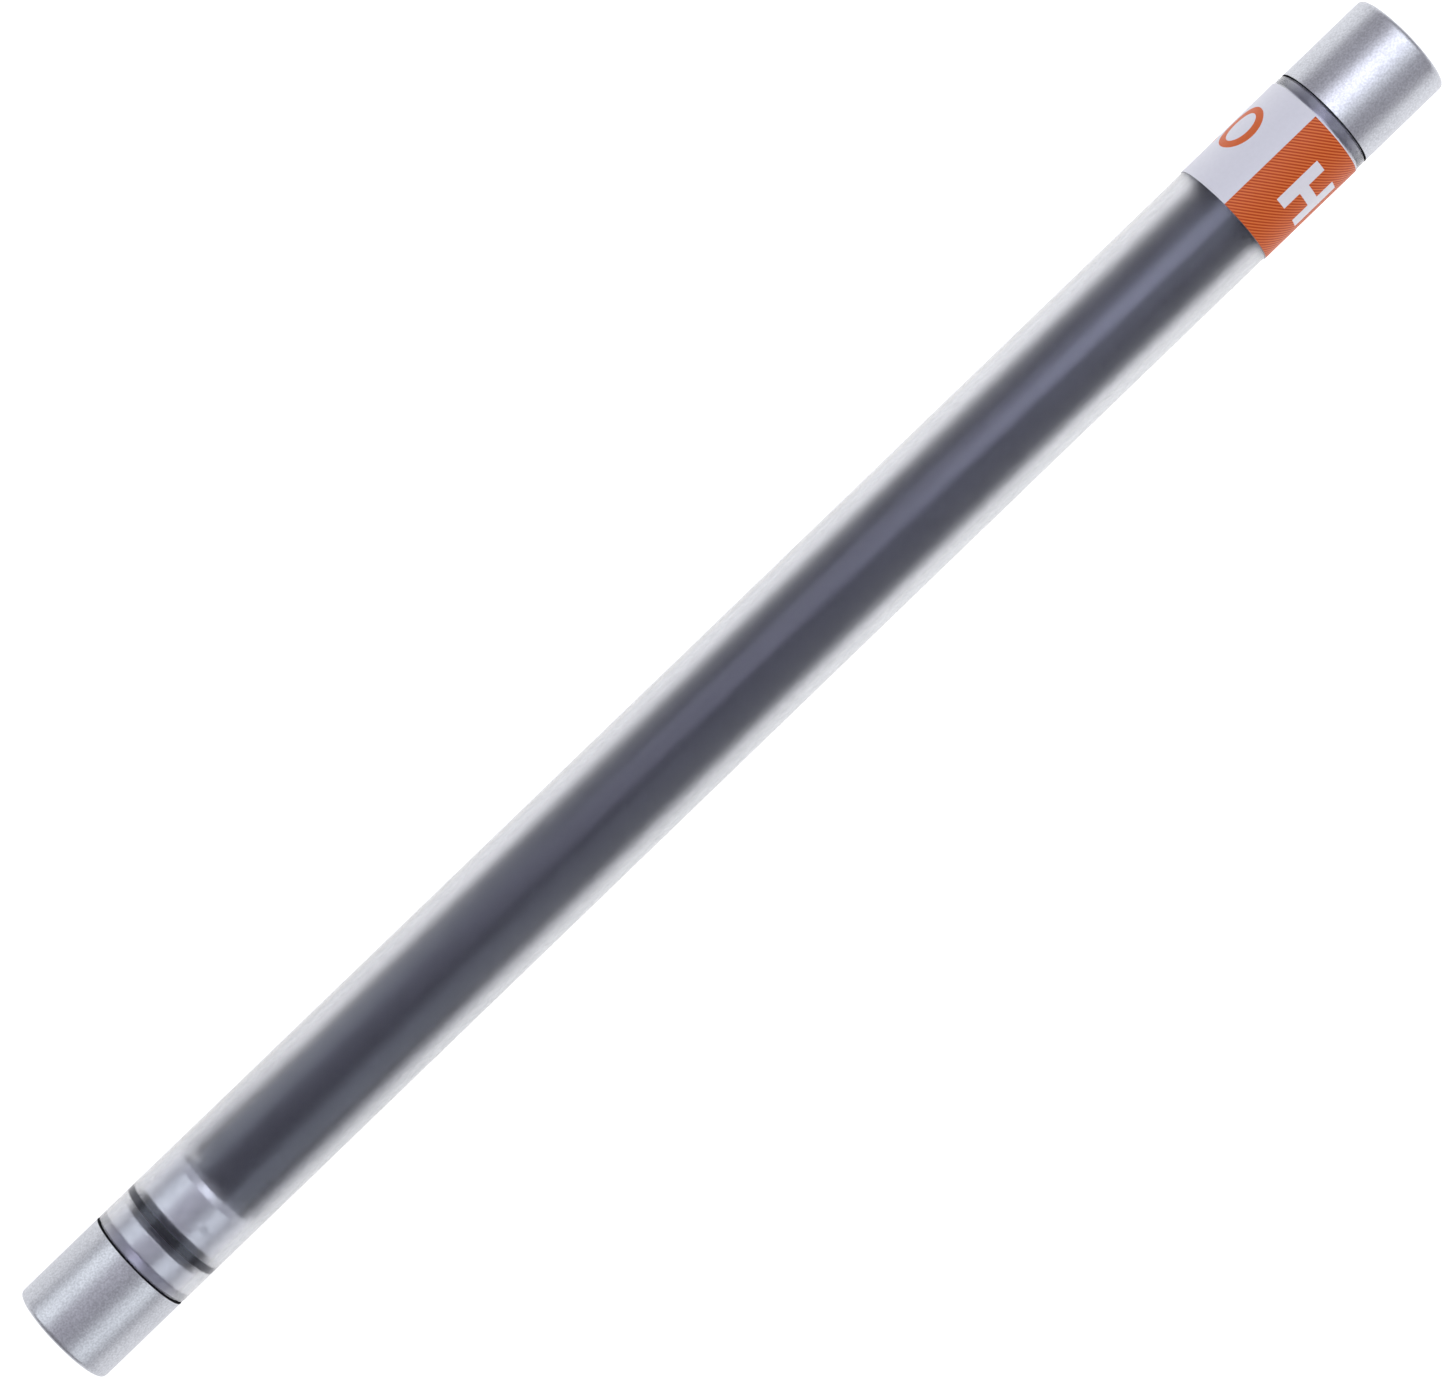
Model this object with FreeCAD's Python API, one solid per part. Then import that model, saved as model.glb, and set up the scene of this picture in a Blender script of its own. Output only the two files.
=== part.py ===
import FreeCAD
import Part

import math
import os

# Lead holder: a clear plastic tube that keeps drafting leads, closed at each end by a push-in cap.
# Each cap is one turned piece, a head as wide as the tube and a plug that goes inside it, and an
# O-ring in a groove round the plug grips the bore.  A printed label is wrapped round one end.
#
# The holder lies on its side.  +X runs along it from the plain (rear) end to the labelled (front)
# end, +Z is up, and the origin is on the surface that it lies on, under the middle of the tube.
# Angles round the tube are in degrees from the top, and grow towards -Y.  Lengths are millimetres.

# Tube
TUBE_R = 5.0
TUBE_WALL = 0.8
TUBE_LENGTH = 138.2
TUBE_EDGE_BREAK = 0.06
MOUTH_CHAMFER_LENGTH = 0.75
MOUTH_CHAMFER_DEPTH = 0.3

# Label
LABEL_THICKNESS = 0.08
LABEL_LENGTH = 10.65
LABEL_TO_TUBE_END = 0.98
LABEL_SEAM_ANGLE = 225.0
LABEL_SEAM_GAP = 1.0

# Caps, both alike
HEAD_LENGTH = 9.25
HEAD_SEAT_GAP = 0.12
HEAD_END_FILLET = 0.45
HEAD_RIM_CHAMFER = 0.12
PLUG_LENGTH = 8.85
PLUG_CLEARANCE = 0.08
PLUG_NOSE_TAPER_LENGTH = 0.7
PLUG_NOSE_TAPER_DEPTH = 0.25
RELIEF_LENGTH = 0.8
RELIEF_DEPTH = 0.35
GROOVE_START = 2.6
GROOVE_WIDTH = 2.0
GROOVE_DEPTH = 1.17
GROOVE_EDGE_BREAK = 0.1

# O-rings, pressed a little out of round between the groove and the bore
SEAL_CLEARANCE = 0.02
SEAL_WIDTH = 1.6
SEAL_CONTACT_WIDTH = 0.56

# Leads
LEAD_R = 1.0
LEAD_LENGTH = 120.0
LEAD_END_CHAMFER = 0.12
LEAD_SPACING_GAP = 0.03
FLOOR_SPREAD = 1.1
PILE_LEAN = -5.0
LEAD_TO_CAP_LEAST = 0.06
LEAD_TO_CAP_STEP = 0.04
STRAGGLER_TO_CAP = 0.42

# Worked out from the sizes above
BORE_R = TUBE_R - TUBE_WALL
TUBE_END = TUBE_LENGTH / 2
LABEL_R = TUBE_R + LABEL_THICKNESS
AXIS_HEIGHT = LABEL_R
PLUG_R = BORE_R - PLUG_CLEARANCE
GROOVE_R = PLUG_R - GROOVE_DEPTH
CAVITY_END = TUBE_END - PLUG_LENGTH
LEAD_PITCH = 2 * LEAD_R + LEAD_SPACING_GAP
LEAD_WALL_R = BORE_R - LEAD_R - LEAD_SPACING_GAP

X_AXIS = FreeCAD.Vector(1, 0, 0)
Z_AXIS = FreeCAD.Vector(0, 0, 1)
ON_TUBE_AXIS = FreeCAD.Vector(0, 0, AXIS_HEIGHT)


class Outline:
    """Half of a turned piece's section, as points (distance along the axis, radius)."""

    def __init__(self, along, radius):
        self.first = FreeCAD.Vector(along, 0, radius)
        self.last = self.first
        self.edges = []

    def line(self, along, radius):
        end = FreeCAD.Vector(along, 0, radius)
        self.edges.append(Part.LineSegment(self.last, end).toShape())
        self.last = end
        return self

    def arc(self, via, end):
        middle = FreeCAD.Vector(via[0], 0, via[1])
        last = FreeCAD.Vector(end[0], 0, end[1])
        self.edges.append(Part.Arc(self.last, middle, last).toShape())
        self.last = last
        return self

    def turned(self, start_angle=0.0, sweep=360.0):
        """The solid that the closed outline makes when it is turned about the tube's axis."""
        self.line(self.first.x, self.first.z)
        face = Part.Face(Part.Wire(self.edges))
        solid = face.revolve(FreeCAD.Vector(), X_AXIS, sweep)
        solid.rotate(FreeCAD.Vector(), X_AXIS, start_angle)
        solid.translate(ON_TUBE_AXIS)
        return solid


def tube():
    """Straight tube with its outer edges broken and a lead-in for the O-ring at each mouth."""
    mouth_r = BORE_R + MOUTH_CHAMFER_DEPTH
    outline = Outline(-TUBE_END, mouth_r)
    outline.line(-TUBE_END, TUBE_R - TUBE_EDGE_BREAK)
    outline.line(-TUBE_END + TUBE_EDGE_BREAK, TUBE_R)
    outline.line(TUBE_END - TUBE_EDGE_BREAK, TUBE_R)
    outline.line(TUBE_END, TUBE_R - TUBE_EDGE_BREAK)
    outline.line(TUBE_END, mouth_r)
    outline.line(TUBE_END - MOUTH_CHAMFER_LENGTH, BORE_R)
    outline.line(-TUBE_END + MOUTH_CHAMFER_LENGTH, BORE_R)
    return outline.turned()


def label():
    """Thin sleeve round the front end, whose two edges stop just short of each other."""
    front = TUBE_END - LABEL_TO_TUBE_END
    outline = Outline(front - LABEL_LENGTH, TUBE_R)
    outline.line(front - LABEL_LENGTH, LABEL_R)
    outline.line(front, LABEL_R)
    outline.line(front, TUBE_R)
    start = LABEL_SEAM_ANGLE + LABEL_SEAM_GAP / 2
    return outline.turned(start, 360.0 - LABEL_SEAM_GAP)


def quarter_round(outline, corner, radius):
    """Rounds the outline's outer corner between a line along the axis and the end face after it."""
    diagonal = radius * (1 - math.sqrt(0.5))
    outline.line(corner[0] - radius, corner[1])
    via = (corner[0] - diagonal, corner[1] - diagonal)
    outline.arc(via, (corner[0], corner[1] - radius))


def front_cap():
    """Head and plug in one piece, with a relief under the head and a groove for the O-ring."""
    seat = TUBE_END + HEAD_SEAT_GAP
    head_end = TUBE_END + HEAD_LENGTH
    relief_r = PLUG_R - RELIEF_DEPTH
    relief_end = TUBE_END - RELIEF_LENGTH
    groove_front = TUBE_END - GROOVE_START
    groove_rear = groove_front - GROOVE_WIDTH
    outline = Outline(CAVITY_END, 0)
    outline.line(CAVITY_END, PLUG_R - PLUG_NOSE_TAPER_DEPTH)
    outline.line(CAVITY_END + PLUG_NOSE_TAPER_LENGTH, PLUG_R)
    outline.line(groove_rear - GROOVE_EDGE_BREAK, PLUG_R)
    outline.line(groove_rear, PLUG_R - GROOVE_EDGE_BREAK)
    outline.line(groove_rear, GROOVE_R)
    outline.line(groove_front, GROOVE_R)
    outline.line(groove_front, PLUG_R - GROOVE_EDGE_BREAK)
    outline.line(groove_front + GROOVE_EDGE_BREAK, PLUG_R)
    outline.line(relief_end, PLUG_R)
    outline.line(relief_end, relief_r)
    outline.line(seat, relief_r)
    outline.line(seat, TUBE_R - HEAD_RIM_CHAMFER)
    outline.line(seat + HEAD_RIM_CHAMFER, TUBE_R)
    quarter_round(outline, (head_end, TUBE_R), HEAD_END_FILLET)
    outline.line(head_end, 0)
    return outline.turned()


def front_seal_ring():
    """O-ring with flats where it bears on the groove's floor and on the bore."""
    inner = GROOVE_R + SEAL_CLEARANCE
    outer = BORE_R - SEAL_CLEARANCE
    middle = (inner + outer) / 2
    centre = TUBE_END - GROOVE_START - GROOVE_WIDTH / 2
    flat = SEAL_CONTACT_WIDTH / 2
    side = SEAL_WIDTH / 2
    outline = Outline(centre - flat, inner)
    outline.arc((centre - side, middle), (centre - flat, outer))
    outline.line(centre + flat, outer)
    outline.arc((centre + side, middle), (centre + flat, inner))
    return outline.turned()


def turned_round(solid):
    """The same piece at the other end of the tube."""
    other = solid.copy()
    other.rotate(FreeCAD.Vector(), Z_AXIS, 180)
    return other


def on_wall(angle):
    """Place (y, z) of a lead against the bore, angle in radians from the bottom, towards +Y."""
    return (LEAD_WALL_R * math.sin(angle), -LEAD_WALL_R * math.cos(angle))


def resting_on(left, right):
    """Place (y, z) of a lead that lies on two others, left and right of it, and touches both."""
    across = (right[0] - left[0], right[1] - left[1])
    apart = math.hypot(across[0], across[1])
    rise = math.sqrt(LEAD_PITCH**2 - (apart / 2) ** 2) / apart
    return (
        (left[0] + right[0]) / 2 - across[1] * rise,
        (left[1] + right[1]) / 2 + across[0] * rise,
    )


def lead_pile():
    """Where the leads lie in the bore: each rests on the wall or on two leads below it.

    Those on the wall are wedged a little apart by the ones above.
    """
    step = FLOOR_SPREAD * 2 * math.asin(LEAD_PITCH / 2 / LEAD_WALL_R)
    floor_row = [on_wall(k * step) for k in (-1.5, -0.5, 0.5, 1.5)]
    middle = resting_on(*floor_row[1:3])
    shoulders = [resting_on(floor_row[0], middle), resting_on(middle, floor_row[3])]
    return floor_row + [middle] + shoulders


def lead(number, place, is_straggler):
    """One lead, with its rear end a little way from the rear cap's plug."""
    to_cap = LEAD_TO_CAP_LEAST + LEAD_TO_CAP_STEP * (number % 3)
    if is_straggler:
        to_cap = STRAGGLER_TO_CAP
    rear = -CAVITY_END + to_cap
    front = rear + LEAD_LENGTH
    outline = Outline(rear, 0)
    outline.line(rear, LEAD_R - LEAD_END_CHAMFER)
    outline.line(rear + LEAD_END_CHAMFER, LEAD_R)
    outline.line(front - LEAD_END_CHAMFER, LEAD_R)
    outline.line(front, LEAD_R - LEAD_END_CHAMFER)
    outline.line(front, 0)
    solid = outline.turned()
    solid.translate(FreeCAD.Vector(0, place[0], place[1]))
    solid.rotate(ON_TUBE_AXIS, X_AXIS, PILE_LEAN)
    return solid


def leads():
    """Every lead by its node's name.  The one furthest towards +Y has slid away from the others."""
    pile = lead_pile()
    straggler = max(pile)
    return {
        f"lead_{number:02d}": lead(number, place, place == straggler)
        for number, place in enumerate(pile, start=1)
    }


def main():
    nodes = {
        "tube": tube(),
        "label": label(),
        "front_cap": front_cap(),
        "front_seal_ring": front_seal_ring(),
        "rear_cap": turned_round(front_cap()),
        "rear_seal_ring": turned_round(front_seal_ring()),
    }
    nodes.update(leads())
    os.makedirs("parts", exist_ok=True)
    for name, solid in nodes.items():
        solid.exportStep(f"parts/{name}.step")
        print(f"{name}: {solid.Volume:.2f} mm3, valid {solid.isValid()}")


main()
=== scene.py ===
"""Looks of the lead holder: a clear tube of drafting leads with a metal cap at each end.

Lengths in this file are millimetres until MM turns them into Blender's metres.  Angles round the
tube are degrees from the top, and grow towards -Y.  "Along" is the row's +X, and "out" is the
distance from the tube's axis.
"""

import math

import bmesh
import bpy
from mathutils import Matrix, Vector, geometry, noise


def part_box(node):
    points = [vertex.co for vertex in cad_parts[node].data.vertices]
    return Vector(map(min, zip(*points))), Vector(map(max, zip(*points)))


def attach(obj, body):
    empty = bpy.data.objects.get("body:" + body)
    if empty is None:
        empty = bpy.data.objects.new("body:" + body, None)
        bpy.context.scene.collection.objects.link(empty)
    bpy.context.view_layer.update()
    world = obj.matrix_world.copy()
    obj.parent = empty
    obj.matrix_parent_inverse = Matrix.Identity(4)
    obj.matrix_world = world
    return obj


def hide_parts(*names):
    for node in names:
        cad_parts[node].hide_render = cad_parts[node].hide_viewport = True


MM = 0.001
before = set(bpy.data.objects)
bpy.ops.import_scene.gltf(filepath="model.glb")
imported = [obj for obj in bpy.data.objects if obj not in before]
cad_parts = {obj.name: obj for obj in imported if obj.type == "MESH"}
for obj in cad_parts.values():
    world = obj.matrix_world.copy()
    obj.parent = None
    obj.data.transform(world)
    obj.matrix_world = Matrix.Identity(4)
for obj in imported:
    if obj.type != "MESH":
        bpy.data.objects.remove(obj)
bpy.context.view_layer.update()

# Sizes shared with the CAD model
TUBE_R = 5.0
BORE_R = 4.2
MOUTH_CHAMFER = (0.75, 0.3)
LABEL_R = 5.08
LABEL_SEAM = 225.0
LABEL_SEAM_GAP = 1.0
HEAD_LENGTH = 9.25
HEAD_SEAT_GAP = 0.12
PLUG_LENGTH = 8.85
PLUG_R = 4.12
NOSE_TAPER = (0.7, 0.25)
RELIEF = (0.8, 0.35)
GROOVE_START = 2.6
GROOVE_WIDTH = 2.0
GROOVE_R = 2.95
LEAD_R = 1.0

TUBE_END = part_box("tube")[1].x / MM
LABEL_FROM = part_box("label")[0].x / MM
LABEL_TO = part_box("label")[1].x / MM
AXIS_HEIGHT = (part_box("tube")[0].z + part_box("tube")[1].z) / 2 / MM

ROUND_SEGMENTS = 160
SHARP_ANGLE = math.radians(32)


# ---------------------------------------------------------------- meshes


def new_piece(name, points, faces, materials=(), indices=None):
    """A mesh object from points in millimetres."""
    mesh = bpy.data.meshes.new(name)
    mesh.from_pydata([Vector(p) * MM for p in points], [], faces)
    for material in materials:
        mesh.materials.append(material)
    if indices:
        mesh.polygons.foreach_set("material_index", indices)
    mesh.polygons.foreach_set("use_smooth", [True] * len(mesh.polygons))
    surface = bmesh.new()
    surface.from_mesh(mesh)
    bmesh.ops.recalc_face_normals(surface, faces=surface.faces)
    surface.to_mesh(mesh)
    surface.free()
    mesh.set_sharp_from_angle(angle=SHARP_ANGLE)
    piece = bpy.data.objects.new(name, mesh)
    bpy.context.scene.collection.objects.link(piece)
    return piece


def dress(piece, body, node):
    """Puts a finished piece in the place of its CAD node."""
    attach(piece, body)
    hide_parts(node)


def around(along, out, degrees):
    """The point at that angle round the tube's axis."""
    angle = math.radians(degrees)
    return (along, -out * math.sin(angle), AXIS_HEIGHT + out * math.cos(angle))


def held(outline, hold=0.03):
    """Adds a point just inside both ends of each long straight, so that it is shaded straight."""
    result = []
    for point, following in zip(outline, outline[1:] + outline[:1]):
        result.append(point)
        straight = following - point
        if straight.length > 6 * hold:
            step = straight.normalized() * hold
            result += [point + step, following - step]
    return result


def rounded(corners, steps=5):
    """A turned piece's outline from corners (along, out, radius of the rounding)."""
    outline = []
    for number, (along, out, radius) in enumerate(corners):
        corner = Vector((along, out))
        if radius == 0:
            outline.append(corner)
            continue
        before = Vector(corners[number - 1][:2]) - corner
        after = Vector(corners[(number + 1) % len(corners)][:2]) - corner
        half = before.angle(after) / 2
        reach = min(radius / math.tan(half), before.length / 2, after.length / 2)
        start = corner + before.normalized() * reach
        end = corner + after.normalized() * reach
        for step in range(steps + 1):
            share = step / steps
            outline.append(
                start * (1 - share) ** 2 + corner * 2 * share * (1 - share) + end * share**2
            )
    return held(outline)


def turned(name, outline, material, towards=1):
    """Turns a closed outline of (along, out) about the tube's axis.  Towards is -1 at the rear."""
    segments = ROUND_SEGMENTS
    points = []
    rings = []
    for along, out in outline:
        if out < 1e-6:
            rings.append([len(points)])
            points.append(around(along * towards, 0, 0))
            continue
        rings.append(range(len(points), len(points) + segments))
        points += [around(along * towards, out, 360 * k / segments) for k in range(segments)]
    faces = []
    for number, ring in enumerate(rings):
        following = rings[(number + 1) % len(rings)]
        if len(ring) == 1 and len(following) == 1:
            continue
        for k in range(segments):
            last = (k + 1) % segments
            if len(ring) == 1:
                face = (ring[0], following[last], following[k])
            elif len(following) == 1:
                face = (ring[k], ring[last], following[0])
            else:
                face = (ring[k], ring[last], following[last], following[k])
            faces.append(face)
    return new_piece(name, points, faces, [material])


# ---------------------------------------------------------------- materials


class Nodes:
    """Short hand for building one material's node tree."""

    def __init__(self, name):
        self.material = bpy.data.materials.new(name)
        self.material.use_nodes = True
        self.tree = self.material.node_tree
        self.shader = self.tree.nodes["Principled BSDF"]
        self.place = self.add("ShaderNodeTexCoord").outputs["Object"]

    def add(self, kind, **settings):
        node = self.tree.nodes.new(kind)
        for key, value in settings.items():
            setattr(node, key, value)
        return node

    def feed(self, socket, value):
        if isinstance(value, bpy.types.NodeSocket):
            self.tree.links.new(value, socket)
        else:
            socket.default_value = value

    def constants(self, **values):
        for key, value in values.items():
            self.shader.inputs[key.replace("_", " ")].default_value = value

    def math(self, operation, *values):
        node = self.add("ShaderNodeMath", operation=operation)
        for socket, value in zip(node.inputs, values):
            self.feed(socket, value)
        return node.outputs[0]

    def ramp(self, value, low, high, to_low=0.0, to_high=1.0):
        """Value from low to high becomes to_low to to_high, and no further."""
        node = self.add("ShaderNodeMapRange")
        for socket, given in zip(node.inputs, (value, low, high, to_low, to_high)):
            self.feed(socket, given)
        return node.outputs[0]

    def mix(self, share, first, second):
        node = self.add("ShaderNodeMix", data_type="RGBA")
        self.feed(node.inputs[0], share)
        self.feed(node.inputs[6], first)
        self.feed(node.inputs[7], second)
        return node.outputs[2]

    def blend(self, share, first, second):
        """Like mix, for numbers."""
        node = self.add("ShaderNodeMix", data_type="FLOAT")
        self.feed(node.inputs[0], share)
        self.feed(node.inputs[2], first)
        self.feed(node.inputs[3], second)
        return node.outputs[0]

    def axes(self):
        """The piece's own X, Y and Z, in metres."""
        split = self.add("ShaderNodeSeparateXYZ")
        self.feed(split.inputs[0], self.place)
        return split.outputs

    def stretched(self, scale):
        """The piece's own coordinates, times scale, so that a pattern is stretched."""
        node = self.add("ShaderNodeVectorMath", operation="MULTIPLY")
        self.feed(node.inputs[0], self.place)
        node.inputs[1].default_value = scale
        return node.outputs[0]

    def noise(self, scale, stretch=(1, 1, 1), detail=2.0, rough=0.5):
        """Noise with features about 1/scale metres across, from 0 to 1."""
        node = self.add("ShaderNodeTexNoise")
        self.feed(node.inputs["Vector"], self.stretched(stretch))
        node.inputs["Scale"].default_value = scale
        node.inputs["Detail"].default_value = detail
        node.inputs["Roughness"].default_value = rough
        return node.outputs["Fac"]

    def bump(self, height, distance, strength=1.0, under=None):
        node = self.add("ShaderNodeBump")
        node.inputs["Strength"].default_value = strength
        node.inputs["Distance"].default_value = distance
        self.feed(node.inputs["Height"], height)
        if under is not None:
            self.feed(node.inputs["Normal"], under)
        return node.outputs[0]

    def out_from_axis(self):
        """Distance from the tube's axis, in millimetres."""
        axes = self.axes()
        up = self.math("SUBTRACT", axes["Z"], AXIS_HEIGHT * MM)
        squares = [self.math("MULTIPLY", v, v) for v in (axes["Y"], up)]
        return self.math("DIVIDE", self.math("SQRT", self.math("ADD", *squares)), MM)

    def round_the_axis(self):
        """(angle in degrees from the top towards -Y, distance along in millimetres)."""
        axes = self.axes()
        up = self.math("SUBTRACT", axes["Z"], AXIS_HEIGHT * MM)
        side = self.math("MULTIPLY", axes["Y"], -1.0)
        angle = self.math("MULTIPLY", self.math("ARCTAN2", side, up), 180 / math.pi)
        along = self.math("DIVIDE", axes["X"], MM)
        return angle, along


# Painted shade on the bore's two sides, as ranges of X or Y in metres over which it comes or goes
BORE_SHADE_STARTS = (-0.0605, -0.0595)
LOW_Y_SHADE = (-0.0036, -0.0024)
LOW_Y_SHADE_FADES = (-0.055, 0.015)
HIGH_Y_SHADE = (0.0026, 0.0036)
HIGH_Y_SHADE_MOST = 0.6
HIGH_Y_SHADE_FADES = (-0.057, -0.046)
HIGH_Y_SHADE_LEFT = 0.08
BORE_SHADE_COLOUR = (0.09, 0.10, 0.14, 1)

PLASTIC_IOR = 1.58
BORE_ROUGHNESS = (0.32, 0.35)
SKIN_ROUGHNESS = (0.22, 0.24)


def painted_shade_on_bore(n):
    """How strong the painted shade is: most near the leads' rear ends, and weaker towards the front."""
    axes = n.axes()
    low_side = n.ramp(axes["Y"], *LOW_Y_SHADE, 1.0, 0.0)
    low_side = n.math("MULTIPLY", low_side, n.ramp(axes["X"], *LOW_Y_SHADE_FADES, 1.0, 0.0))
    high_side = n.ramp(axes["Y"], *HIGH_Y_SHADE, 0.0, HIGH_Y_SHADE_MOST)
    fading = n.ramp(axes["X"], *HIGH_Y_SHADE_FADES, 1.0, HIGH_Y_SHADE_LEFT)
    high_side = n.math("MULTIPLY", high_side, fading)
    by_leads = n.ramp(axes["X"], *BORE_SHADE_STARTS)
    return n.math("MULTIPLY", n.math("ADD", low_side, high_side), by_leads)


def clear_plastic():
    """Glossy outside and finely frosted inside, with painted shade on both sides of the bore."""
    n = Nodes("clear_plastic")
    n.constants(Transmission_Weight=1.0, IOR=PLASTIC_IOR, Specular_Tint=(0.78, 0.82, 1.0, 1))
    grain = n.ramp(n.noise(7000.0, (1, 1, 1), 1.0), 0.35, 0.65)
    clean = n.mix(grain, (0.945, 0.955, 0.99, 1), (0.975, 0.985, 1.0, 1))
    outside = n.ramp(n.out_from_axis(), BORE_R + 0.3, BORE_R + 0.5)
    # The painted shade on the bore, kept off the outer skin
    dust = n.math("MULTIPLY", painted_shade_on_bore(n), n.math("SUBTRACT", 1.0, outside))
    n.feed(n.shader.inputs["Base Color"], n.mix(dust, clean, BORE_SHADE_COLOUR))
    cloud = n.noise(260.0, (0.25, 1, 1), 3.0)
    bore_rough = n.ramp(cloud, 0.3, 0.7, *BORE_ROUGHNESS)
    skin_rough = n.ramp(cloud, 0.3, 0.7, *SKIN_ROUGHNESS)
    n.feed(n.shader.inputs["Roughness"], n.blend(outside, bore_rough, skin_rough))
    return n.material


DRIP_MARK = (-63.0, PLUG_R, 26.5)
DRIP_MARK_EDGE = (0.0003, 0.0005)
# Painted shade for the recessed neck between plug and head
NECK_PAINTED_SHADE = (0.35, 0.345, 0.41, 1)


def satin_metal():
    """Fine turned metal: a darker head, a plug painted brighter (painted light where it lies inside the
    tube) and a relief between them painted darker (painted shade in its recess).
    """
    n = Nodes("satin_metal")
    n.constants(Metallic=1.0)
    speckle = n.noise(6000.0, (1, 1, 1), 2.0, 0.6)
    rings = n.noise(7000.0, (1, 0.02, 0.02), 2.0)
    patch = n.noise(350.0, (1, 1, 1), 2.0)
    speckled = n.ramp(speckle, 0.35, 0.65)
    head = n.mix(speckled, (0.44, 0.45, 0.48, 1), (0.60, 0.615, 0.65, 1))
    # The plug is the head's metal painted brighter: painted light on the part inside the tube
    plug = n.mix(speckled, (0.56, 0.57, 0.62, 1), (0.74, 0.755, 0.80, 1))
    along = n.math("DIVIDE", n.math("ABSOLUTE", n.axes()["X"]), MM)
    # Painted shade on the recessed neck under the tube's mouth
    in_shaded_neck = n.ramp(along, TUBE_END - RELIEF[0] - 0.05, TUBE_END - RELIEF[0])
    out_of_tube = n.ramp(along, TUBE_END + 0.1, TUBE_END + 0.15)
    colour = n.mix(out_of_tube, n.mix(in_shaded_neck, plug, NECK_PAINTED_SHADE), head)
    spot = n.add("ShaderNodeVectorMath", operation="DISTANCE")
    n.feed(spot.inputs[0], n.place)
    spot.inputs[1].default_value = Vector(around(*DRIP_MARK)) * MM
    marked = n.ramp(spot.outputs["Value"], *DRIP_MARK_EDGE, 0.6, 0.0)
    colour = n.mix(marked, colour, (0.30, 0.31, 0.34, 1))
    n.feed(n.shader.inputs["Base Color"], colour)
    n.feed(n.shader.inputs["Roughness"], n.ramp(patch, 0.3, 0.7, 0.37, 0.42))
    fine = n.bump(speckle, 0.000006, 0.5)
    n.feed(n.shader.inputs["Normal"], n.bump(rings, 0.000003, 0.5, fine))
    return n.material


def faced_metal():
    """The dull, coarsely faced end of a plug."""
    n = Nodes("faced_metal")
    n.constants(Metallic=0.35, Roughness=0.65)
    colour = n.mix(n.noise(4000.0), (0.62, 0.63, 0.68, 1), (0.78, 0.79, 0.84, 1))
    n.feed(n.shader.inputs["Base Color"], colour)
    return n.material


def joint_painted_shade():
    """Painted shade: near-black on the seat of each cap, in the shadowed gap where it meets the tube."""
    n = Nodes("joint_painted_shade")
    n.constants(Base_Color=(0.006, 0.006, 0.008, 1), Roughness=0.9, Specular_IOR_Level=0.1)
    return n.material


def seal_rubber():
    n = Nodes("seal_rubber")
    n.constants(Specular_IOR_Level=0.25)
    dust = n.ramp(n.noise(5000.0, (1, 1, 1), 3.0), 0.55, 0.75)
    colour = n.mix(dust, (0.004, 0.004, 0.007, 1), (0.014, 0.014, 0.018, 1))
    n.feed(n.shader.inputs["Base Color"], colour)
    n.feed(n.shader.inputs["Roughness"], n.ramp(dust, 0, 1, 0.42, 0.6))
    n.feed(n.shader.inputs["Normal"], n.bump(n.noise(12000.0), 0.000004, 0.4))
    return n.material


def graphite():
    n = Nodes("graphite")
    n.constants(Specular_IOR_Level=0.4, Specular_Tint=(0.85, 0.88, 1.0, 1))
    drawn = n.noise(6000.0, (0.01, 1, 1), 3.0)
    smudge = n.noise(500.0, (0.3, 1, 1), 3.0)
    colour = n.mix(n.ramp(smudge, 0.3, 0.7), (0.030, 0.030, 0.040, 1), (0.048, 0.048, 0.062, 1))
    n.feed(n.shader.inputs["Base Color"], colour)
    n.feed(n.shader.inputs["Roughness"], n.ramp(drawn, 0.3, 0.7, 0.30, 0.42))
    n.feed(n.shader.inputs["Normal"], n.bump(drawn, 0.000006, 0.5))
    return n.material


HALFTONE_PITCH = 0.256
HALFTONE_SLANT = 38.0


def label_film(name, colour, second=None):
    """Coated film or the ink on it.  A second colour is printed over the first in fine stripes."""
    n = Nodes(name)
    mottle = n.noise(3000.0, (1, 1, 1), 3.0)
    if second:
        angle, along = n.round_the_axis()
        slant = math.radians(HALFTONE_SLANT)
        across = n.math("MULTIPLY", angle, -math.radians(1) * LABEL_R * math.sin(slant))
        along = n.math("MULTIPLY", along, math.cos(slant))
        phase = n.math("MULTIPLY", n.math("ADD", across, along), 2 * math.pi / HALFTONE_PITCH)
        base = n.mix(n.ramp(n.math("SINE", phase), -0.7, 0.7), colour, second)
        n.constants(Specular_IOR_Level=0.25)
    else:
        base = n.mix(n.ramp(mottle, 0.3, 0.7), colour, tuple(0.97 * c for c in colour[:3]) + (1,))
    n.feed(n.shader.inputs["Base Color"], base)
    n.feed(n.shader.inputs["Roughness"], n.ramp(mottle, 0.3, 0.7, 0.42, 0.52))
    n.feed(n.shader.inputs["Normal"], n.bump(mottle, 0.000004, 0.3))
    return n.material


# ---------------------------------------------------------------- turned pieces


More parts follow.
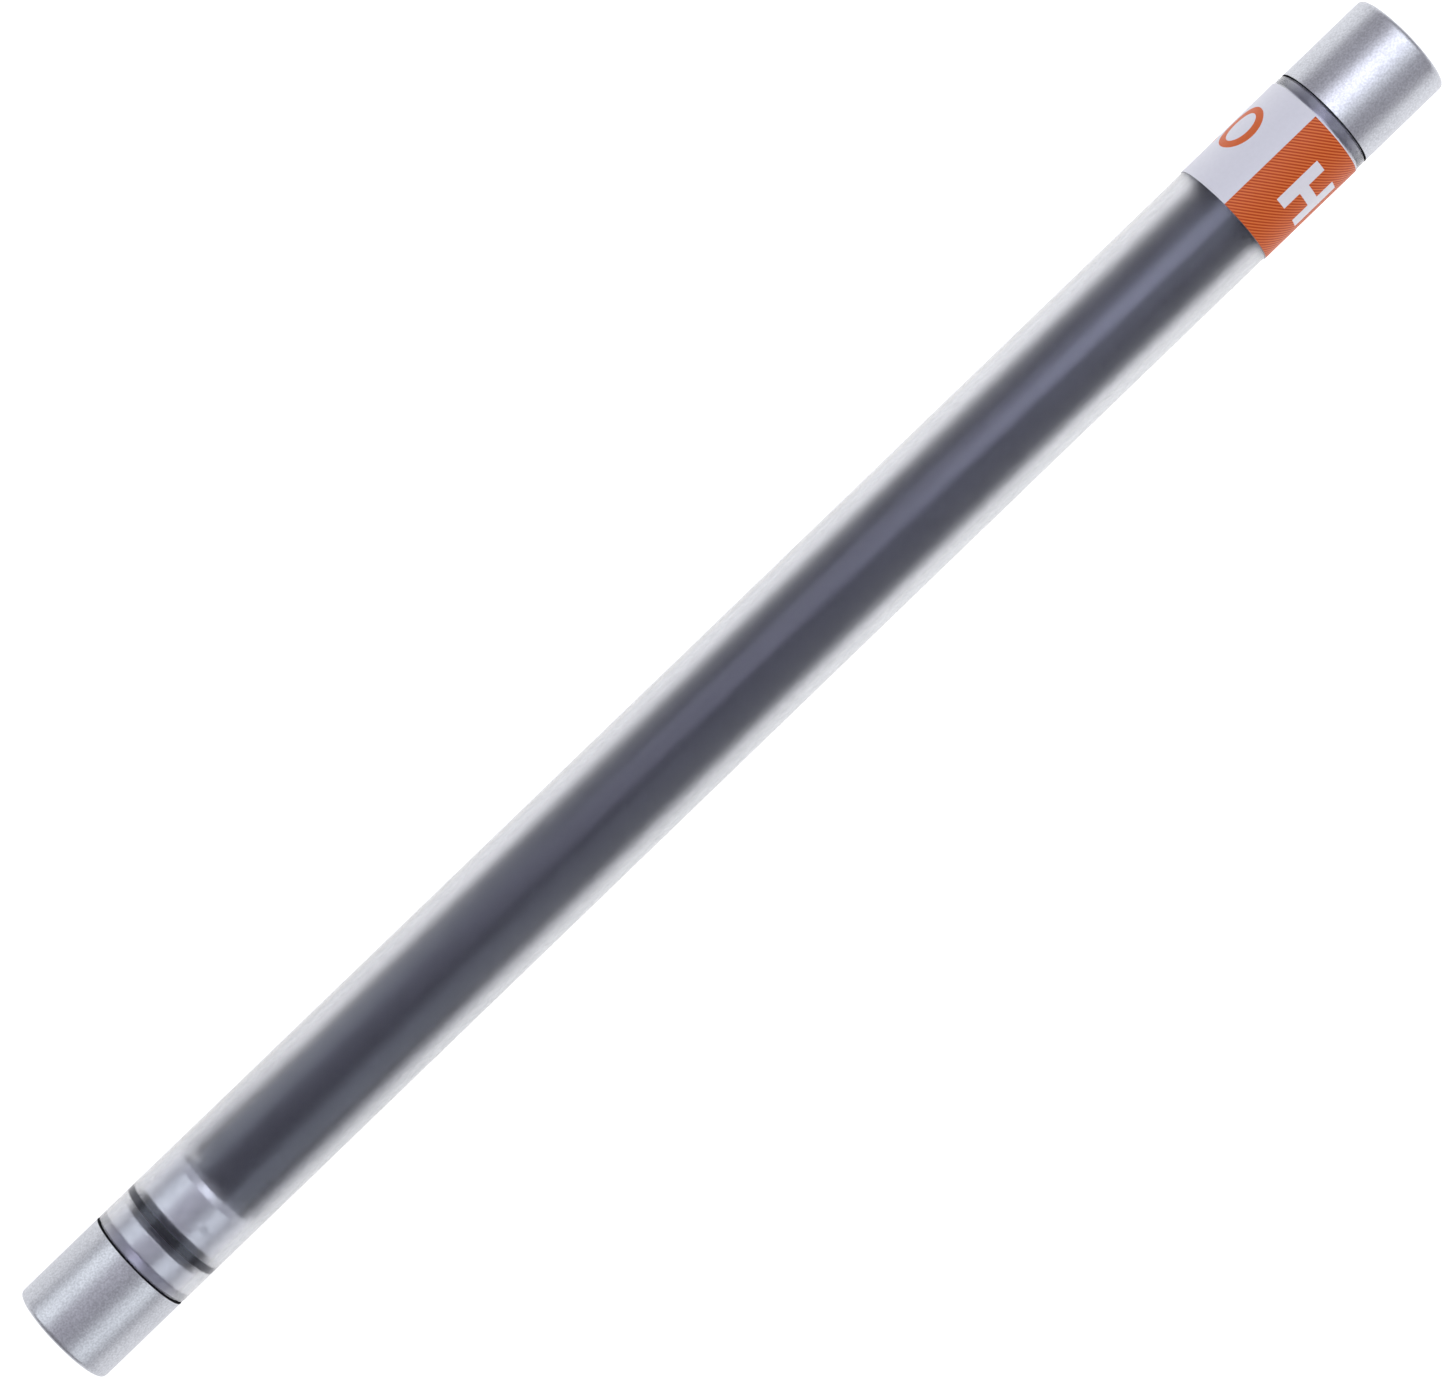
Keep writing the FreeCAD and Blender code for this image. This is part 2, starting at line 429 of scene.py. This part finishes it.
def tube():
    end = TUBE_END
    chamfer_long, chamfer_deep = MOUTH_CHAMFER
    corners = [
        (-end, BORE_R + chamfer_deep, 0.05),
        (-end, TUBE_R, 0.06),
        (end, TUBE_R, 0.06),
        (end, BORE_R + chamfer_deep, 0.05),
        (end - chamfer_long, BORE_R, 0.1),
        (-end + chamfer_long, BORE_R, 0.1),
    ]
    piece = turned("tube_shell", rounded(corners), clear_plastic())
    dress(piece, "tube", "tube")


# Painted shade on each cap's seat, and how the head's edge next to it is rounded, rear and front
SEAT_SHADE_INNER_R = 4.74
SEAT_SHADE_REACH = {-1: 0.11, 1: 0.06}
RIM_ROUNDING = {-1: 0.2, 1: 0.03}
HEAD_END_ROUNDING = 0.45
HAIR = 0.02


def cap(end_name, towards, metal, seat_shade, faced):
    """Head and plug.  The corners are given from the nose outwards, for the front end."""
    end = TUBE_END
    nose = end - PLUG_LENGTH
    seat = end + HEAD_SEAT_GAP
    relief_long, relief_deep = RELIEF
    taper_long, taper_deep = NOSE_TAPER
    groove_near = end - GROOVE_START
    groove_far = groove_near - GROOVE_WIDTH
    corners = [
        (nose, 0, 0),
        (nose, PLUG_R - taper_deep, 0.06),
        (nose + taper_long, PLUG_R, 0.3),
        (groove_far, PLUG_R, 0.08),
        (groove_far, GROOVE_R, 0.1),
        (groove_near, GROOVE_R, 0.1),
        (groove_near, PLUG_R, 0.08),
        (end - relief_long, PLUG_R, 0.05),
        (end - relief_long, PLUG_R - relief_deep, 0.05),
        (seat, PLUG_R - relief_deep, 0.02),
        (seat, SEAT_SHADE_INNER_R, 0),
        (seat, TUBE_R, RIM_ROUNDING[towards]),
        (end + HEAD_LENGTH, TUBE_R, HEAD_END_ROUNDING),
        (end + HEAD_LENGTH, 0, 0),
    ]
    piece = turned(f"{end_name}_cap_turned", rounded(corners), metal, towards)
    piece.data.materials.append(seat_shade)
    piece.data.materials.append(faced)
    seat_shade_end = seat + SEAT_SHADE_REACH[towards]
    for face in piece.data.polygons:
        along = face.center.x * towards / MM
        out = (face.center - Vector((face.center.x, 0, AXIS_HEIGHT * MM))).length / MM
        # Faces of the seat get the painted shade of the joint
        if seat - HAIR < along < seat_shade_end and out > SEAT_SHADE_INNER_R + HAIR:
            face.material_index = 1
        if along < nose + HAIR:
            face.material_index = 2
    dress(piece, f"{end_name}_cap", f"{end_name}_cap")


SEAL_BITE = 0.012
SEAL_FLAT = 0.28
SEAL_SIDE = 0.8
SEAL_INNER_CLEARANCE = 0.02


def seal(end_name, towards, rubber):
    """The O-ring bites a hair into the bore, so that no air shows where it bears on the tube."""
    centre = TUBE_END - GROOVE_START - GROOVE_WIDTH / 2
    outer = BORE_R + SEAL_BITE
    inner = GROOVE_R + SEAL_INNER_CLEARANCE
    middle = (outer + inner) / 2
    height = (outer - inner) / 2
    bulge = SEAL_SIDE - SEAL_FLAT
    outline = []
    for side in (1, -1):
        for step in range(13):
            angle = math.radians(90 - 15 * step)
            if side < 0:
                angle += math.pi
            along = centre + side * SEAL_FLAT + bulge * math.cos(angle)
            outline.append((along, middle + height * math.sin(angle)))
    piece = turned(f"{end_name}_o_ring", outline, rubber, towards)
    dress(piece, f"{end_name}_seal", f"{end_name}_seal_ring")


LEAD_SEGMENTS = 48
# A lead's end: (distance from the end, radius, how uneven it is)
LEAD_END = [(0, 0, 0), (0, 0.55, 0), (0.02, 0.84, 1), (0.14, 0.99, 1), (0.3, LEAD_R, 0), (0.33, LEAD_R, 0)]


def lead(node, material):
    """A lead with a slightly uneven edge at each end, as it was snapped to length."""
    lo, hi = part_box(node)
    centre = Vector(((lo.y + hi.y) / 2, (lo.z + hi.z) / 2)) / MM
    seed = 7.3 * int(node[-2:])
    start, stop = lo.x / MM, hi.x / MM
    stations = [(start + depth, out, uneven) for depth, out, uneven in LEAD_END]
    stations += [(stop - depth, out, uneven) for depth, out, uneven in reversed(LEAD_END)]
    points = []
    rings = []
    for along, out, uneven in stations:
        if out == 0:
            rings.append([len(points)])
            points.append((along, centre.x, centre.y))
            continue
        rings.append(range(len(points), len(points) + LEAD_SEGMENTS))
        inwards = 1 if along < (start + stop) / 2 else -1
        for k in range(LEAD_SEGMENTS):
            angle = 2 * math.pi * k / LEAD_SEGMENTS
            chip = noise.noise((2.2 * math.cos(angle), 2.2 * math.sin(angle), seed + along))
            chip = max(chip, 0) * uneven
            reach = out * (1 - 0.1 * chip)
            points.append(
                (
                    along + 0.25 * chip * inwards,
                    centre.x - reach * math.sin(angle),
                    centre.y + reach * math.cos(angle),
                )
            )
    faces = []
    for ring, following in zip(rings, rings[1:]):
        for k in range(LEAD_SEGMENTS):
            last = (k + 1) % LEAD_SEGMENTS
            if len(ring) == 1:
                faces.append((ring[0], following[k], following[last]))
            elif len(following) == 1:
                faces.append((ring[last], ring[k], following[0]))
            else:
                faces.append((ring[last], ring[k], following[k], following[last]))
    piece = new_piece(f"{node}_stick", points, faces, [material])
    dress(piece, node, node)


# ---------------------------------------------------------------- label

GRID_STEP = 2.5
LABEL_START = LABEL_SEAM + LABEL_SEAM_GAP / 2 - 360
LABEL_STOP = LABEL_SEAM - LABEL_SEAM_GAP / 2
LABEL_LONG = LABEL_TO - LABEL_FROM
LABEL_INNER_R = TUBE_R - 0.01
PAPER, ORANGE, LETTER, RING, GREY = range(5)

PANEL = (-6.8, 103.5, 0.0, LABEL_LONG - 0.12)
CHARACTER_FOOT = 3.48
CHARACTER_HEAD = 8.13
PRINT_STROKE = 0.72
# Rows of grey bars in place of small print: where each starts and stops, in degrees
SMALL_PRINT = [(118, 206), (118, 192), (118, 199), (118, 170), (118, 203), (118, 184)]
SMALL_PRINT_TOP = 8.6
SMALL_PRINT_STEP = 1.25
SMALL_PRINT_HIGH = 0.42


def rectangle(low, high, foot, head):
    """Corners (angle, distance from the label's rear edge)."""
    return [(low, foot), (high, foot), (high, head), (low, head)]


def ellipse(low, high, foot, head, steps=64):
    centre = ((low + high) / 2, (foot + head) / 2)
    half = ((high - low) / 2, (head - foot) / 2)
    points = []
    for k in range(steps):
        angle = 2 * math.pi * k / steps
        points.append((centre[0] + half[0] * math.cos(angle), centre[1] + half[1] * math.sin(angle)))
    return points


def letter_h():
    """The hardness grade, in white on the panel, with its top towards +X."""
    left, right = (25.0, 38.2), (57.9, 71.7)
    foot, head = CHARACTER_FOOT, CHARACTER_HEAD
    middle = (foot + head) / 2
    half_bar = 0.52
    low, high = middle - half_bar, middle + half_bar
    return [
        (left[0], foot),
        (left[1], foot),
        (left[1], low),
        (right[0], low),
        (right[0], foot),
        (right[1], foot),
        (right[1], head),
        (right[0], head),
        (right[0], high),
        (left[1], high),
        (left[1], head),
        (left[0], head),
    ]


def digit_two():
    """A 2 with a round head, a straight diagonal and a flat foot."""
    low, high = -127.0, -93.0
    foot, head = CHARACTER_FOOT, CHARACTER_HEAD
    wide = 8.4
    stroke = PRINT_STROKE
    mid = (low + high) / 2
    half = (high - low) / 2
    bowl_r = 1.55
    bowl = head - bowl_r
    steps = 16
    outer = []
    inner = []
    for step in range(steps + 1):
        angle = math.radians(170 - 215 * step / steps)
        c, s = math.cos(angle), math.sin(angle)
        outer.append((mid + half * c, bowl + bowl_r * s))
        inner.append((mid + (half - wide) * c, bowl + (bowl_r - stroke) * s))
    tail = [
        (low + wide * 1.35, foot + stroke),
        (high, foot + stroke),
        (high, foot),
        (low, foot),
        (low, foot + stroke),
    ]
    return outer + tail + inner[::-1]


def inside(point, loop):
    """Whether a point is inside a closed loop."""
    within = False
    for (x1, y1), (x2, y2) in zip(loop, loop[1:] + loop[:1]):
        if (y1 > point[1]) != (y2 > point[1]):
            if point[0] < x1 + (point[1] - y1) / (y2 - y1) * (x2 - x1):
                within = not within
    return within


def printed_shapes():
    """(outline, what it is printed in), the later ones over the earlier."""
    foot, head = CHARACTER_FOOT, CHARACTER_HEAD
    shapes = [
        (rectangle(*PANEL), ORANGE),
        (letter_h(), LETTER),
        (ellipse(-79.0, -37.2, foot, head), RING),
        (ellipse(-70.0, -46.0, foot + PRINT_STROKE, head - PRINT_STROKE), PAPER),
        (ellipse(-90.0, -81.8, foot, foot + PRINT_STROKE, 20), RING),
        (digit_two(), RING),
    ]
    for number, (low, high) in enumerate(SMALL_PRINT):
        base = SMALL_PRINT_TOP - SMALL_PRINT_STEP * number
        shapes.append((rectangle(low, high, base, base + SMALL_PRINT_HIGH), GREY))
    return shapes


def label():
    """A sleeve whose printed face is cut along the edges of the print."""
    shapes = printed_shapes()
    points = []
    edges = []

    def add_loop(loop):
        first = len(points)
        points.extend(Vector(p) for p in loop)
        count = len(loop)
        edges.extend((first + k, first + (k + 1) % count) for k in range(count))

    add_loop(rectangle(LABEL_START, LABEL_STOP, 0.0, LABEL_LONG))
    for loop, _ in shapes:
        add_loop(loop)
    columns = int((LABEL_STOP - LABEL_START) / GRID_STEP)
    for k in range(1, columns):
        angle = LABEL_START + (LABEL_STOP - LABEL_START) * k / columns
        first = len(points)
        points.extend((Vector((angle, 0.0)), Vector((angle, LABEL_LONG))))
        edges.append((first, first + 1))
    flat, _, triangles, _, _, _ = geometry.delaunay_2d_cdt(points, edges, [], 0, 1e-5)
    count = len(flat)
    mesh_points = [around(LABEL_FROM + v, LABEL_R, u) for u, v in flat]
    mesh_points += [around(LABEL_FROM + v, LABEL_INNER_R, u) for u, v in flat]
    faces = []
    indices = []
    borders = {}
    for triangle in triangles:
        a, b, c = triangle
        centre = (flat[a] + flat[b] + flat[c]) / 3
        ink = PAPER
        for loop, kind in shapes:
            if inside(centre, loop):
                ink = kind
        faces.append((a, b, c))
        indices.append(ink)
        faces.append((c + count, b + count, a + count))
        indices.append(PAPER)
        for edge in ((a, b), (b, c), (c, a)):
            borders[edge] = True
    for first, last in list(borders):
        if (last, first) not in borders:
            faces.append((last, first, first + count, last + count))
            indices.append(PAPER)
    materials = [
        label_film("label_paper", (0.69, 0.695, 0.745, 1)),
        label_film("label_orange", (0.74, 0.175, 0.037, 1), (0.46, 0.048, 0.002, 1)),
        label_film("label_letter", (0.79, 0.78, 0.81, 1)),
        label_film("label_ring", (0.62, 0.108, 0.011, 1)),
        label_film("label_grey", (0.30, 0.31, 0.34, 1)),
    ]
    piece = new_piece("label_sleeve", mesh_points, faces, materials, indices)
    dress(piece, "tube", "label")


# ---------------------------------------------------------------- stage, light and camera

ROW_TURN = math.radians(43.97)
CAMERA_ABOVE_AXIS = 410.0
CAMERA_ASIDE = (-0.6, 0.53)
LENS = 121.3

# (from, to, strength at from, strength at to), by X in metres or by the sky direction's Z or X
FLOOR_GLOW = (-0.07, 0.02, 0.88, 1.0)
SKY_UP = (0.0, 1.0, 0.44, 0.47)
SKY_REARWARDS = (-0.22, 0.03, 0.65, 1.0)
SKY_COLOUR = (0.95, 0.92, 1.03, 1)

REAR_END = (-0.074, 0, 0.005)
FRONT_END = (0.074, 0, 0.005)
STUDIO_WHITE = (0.935, 0.985, 1.0)
# (name, place, what it is aimed at, (across, along), brightness, colour)
LAMPS = [
    ("rear_left_box", (-0.19, 0.35, 0.27), REAR_END, (0.31, 0.26), 1.5, STUDIO_WHITE),
    ("rear_right_box", (-0.19, -0.35, 0.28), REAR_END, (0.31, 0.26), 1.34, STUDIO_WHITE),
    ("front_top_box", (0.225, -0.003, 0.44), FRONT_END, (0.54, 0.215), 1.39, STUDIO_WHITE),
    ("front_tube_box", (0.10, 0.035, 0.44), (0.05, 0, 0.005), (0.24, 0.07), 3.75, (0.95, 0.95, 1.14)),
    ("middle_top_box", (0.02, 0.14, 0.44), (0.0, 0, 0.005), (0.30, 0.13), 1.5, (0.98, 0.93, 1.06)),
]


def stage():
    """A white light-table floor, so that the holder lies on plain white with no shadow."""
    mesh = bpy.data.meshes.new("floor")
    reach = 3.0
    corners = [(-reach, -reach, 0), (reach, -reach, 0), (reach, reach, 0), (-reach, reach, 0)]
    mesh.from_pydata(corners, [], [(0, 1, 2, 3)])
    floor = bpy.data.objects.new("floor", mesh)
    bpy.context.scene.collection.objects.link(floor)
    n = Nodes("floor_white")
    n.constants(Base_Color=(0.4, 0.4, 0.4, 1), Roughness=1.0, Specular_IOR_Level=0.0)
    n.constants(Emission_Color=(1, 1, 1, 1))
    glow = n.ramp(n.axes()["X"], *FLOOR_GLOW)
    n.feed(n.shader.inputs["Emission Strength"], glow)
    mesh.materials.append(n.material)


def softbox(name, centre, aim, size, radiance, colour):
    """A rectangular lamp.  Its size is (across, along) and its brightness is that of its face."""
    lamp = bpy.data.lights.new(name, "AREA")
    lamp.shape = "RECTANGLE"
    lamp.size, lamp.size_y = size
    lamp.energy = radiance * math.pi * size[0] * size[1]
    lamp.color = colour
    placed = bpy.data.objects.new(name, lamp)
    bpy.context.scene.collection.objects.link(placed)
    back = (Vector(centre) - Vector(aim)).normalized()
    side = back.cross(Vector((1, 0, 0))).normalized()
    along = side.cross(back)
    turn = Matrix((side, -along, back)).transposed().to_4x4()
    placed.matrix_world = Matrix.Translation(centre) @ turn


def lights():
    """A dim sky, darker towards the rear, and the lamps."""
    world = bpy.data.worlds.new("studio")
    bpy.context.scene.world = world
    world.use_nodes = True
    tree = world.node_tree
    place = tree.nodes.new("ShaderNodeTexCoord")
    split = tree.nodes.new("ShaderNodeSeparateXYZ")
    tree.links.new(place.outputs["Generated"], split.inputs[0])
    product = tree.nodes.new("ShaderNodeMath")
    product.operation = "MULTIPLY"
    for number, (axis, values) in enumerate((("Z", SKY_UP), ("X", SKY_REARWARDS))):
        ramp = tree.nodes.new("ShaderNodeMapRange")
        tree.links.new(split.outputs[axis], ramp.inputs[0])
        for socket, value in zip(ramp.inputs[1:], values):
            socket.default_value = value
        tree.links.new(ramp.outputs[0], product.inputs[number])
    background = tree.nodes["Background"]
    background.inputs["Color"].default_value = SKY_COLOUR
    tree.links.new(product.outputs[0], background.inputs["Strength"])
    for lamp in LAMPS:
        softbox(*lamp)


def camera():
    """Straight above the holder, and turned so that it lies across the picture's diagonal."""
    lens = bpy.data.cameras.new("camera")
    lens.lens = LENS
    lens.sensor_width = 36.0
    lens.clip_start = 0.01
    lens.clip_end = 20.0
    placed = bpy.data.objects.new("camera", lens)
    bpy.context.scene.collection.objects.link(placed)
    aside_x, aside_y = CAMERA_ASIDE
    placed.location = Vector((aside_x, aside_y, AXIS_HEIGHT + CAMERA_ABOVE_AXIS)) * MM
    placed.rotation_euler = (0, 0, -ROW_TURN)
    bpy.context.scene.camera = placed
    bpy.context.scene.view_settings.view_transform = "Standard"


def main():
    camera()
    lights()
    stage()
    metal = satin_metal()
    seat_shade = joint_painted_shade()
    faced = faced_metal()
    rubber = seal_rubber()
    carbon = graphite()
    tube()
    label()
    for end_name, towards in (("front", 1), ("rear", -1)):
        cap(end_name, towards, metal, seat_shade, faced)
        seal(end_name, towards, rubber)
    for node in sorted(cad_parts):
        if node.startswith("lead_"):
            lead(node, carbon)


main()
